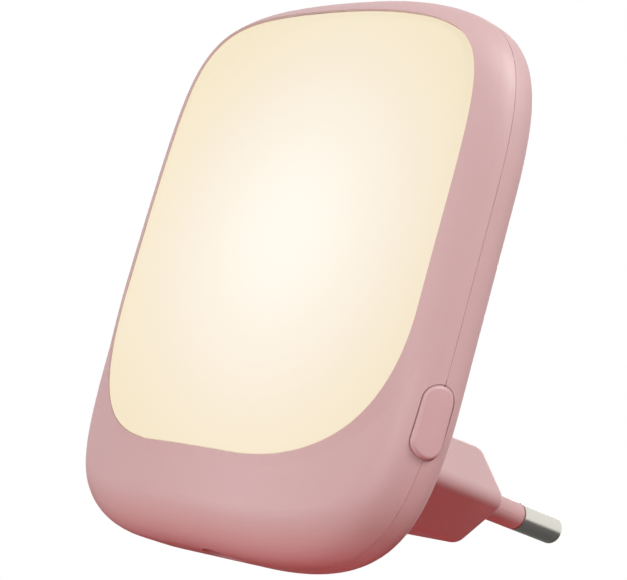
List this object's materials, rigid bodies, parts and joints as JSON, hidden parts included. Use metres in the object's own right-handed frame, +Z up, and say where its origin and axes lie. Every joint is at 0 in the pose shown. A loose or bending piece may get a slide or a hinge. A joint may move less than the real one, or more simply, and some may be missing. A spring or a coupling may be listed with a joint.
{
  "type": "night light",
  "caption": "Plug-in night light: soft rounded housing with a large domed opal diffuser in front, a push button on its side and a round-pin mains plug on its back.",
  "frame": {"origin": "middle of the plug's end face, halfway between the roots of the pins", "axes": "+Y out of the plug's end face towards the wall, +Z up, +X to the right of someone who looks at the glowing front"},
  "size_m": [0.0665, 0.0626, 0.0757],
  "materials": {
    "pink_shell": "fine moulded satin",
    "pink_button": "fine moulded satin",
    "pink_sleeve": "satin",
    "opal": "satin opal, lit from behind in warm white",
    "nickel": "bright nickel plate",
    "board_white": "white solder mask",
    "lamp_white": "gloss white",
    "phosphor": "clear gloss over yellow phosphor",
    "film_box": "gloss moulded box",
    "can_metal": "drawn aluminium",
    "can_film": "shrink film",
    "chip_black": "moulded epoxy",
    "resistor_body": "lacquered ceramic",
    "switch_black": "moulded",
    "plunger_white": "moulded",
    "tinned": "tinned",
    "screw_steel": "zinc plated",
    "wire_brown": "wire insulation",
    "wire_blue": "wire insulation"
  },
  "bodies": {
    "housing": {"front_bezel": "pink_shell", "diffuser": "opal", "rear_housing": "pink_shell", "pin_right": "nickel", "pin_left": "nickel", "pin_sleeve_right": "pink_sleeve", "pin_sleeve_left": "pink_sleeve", "circuit_board": "board_white", "board_screws": "screw_steel", "led_packages": "lamp_white", "led_phosphors": "phosphor", "film_capacitor": "film_box", "smoothing_capacitor": "can_metal", "capacitor_sleeve": "can_film", "capacitor_leads": "tinned", "package_legs": "tinned", "bridge_rectifier": "chip_black", "driver_chip": "chip_black", "fuse_resistor": "resistor_body", "bleed_resistors": "chip_black", "switch_body": "switch_black", "switch_legs": "tinned", "live_wire": "wire_brown", "neutral_wire": "wire_blue"},
    "button": {"side_button": "pink_button"},
    "plunger": {"switch_plunger": "plunger_white"}
  },
  "joints": [
    {"name": "side_button_press", "type": "slide", "parent": "housing", "child": "button", "axis": [-1, 0, 0], "range_m": [0, 0.001], "stiffness_N_per_m": 1500, "springref_m": -0.001},
    {"name": "switch_plunger_press", "type": "slide", "parent": "housing", "child": "plunger", "axis": [-1, 0, 0], "range_m": [0, 0.001]}
  ],
  "couplings": [
    {"joint": "switch_plunger_press", "follows": "side_button_press", "ratio": 1}
  ]
}
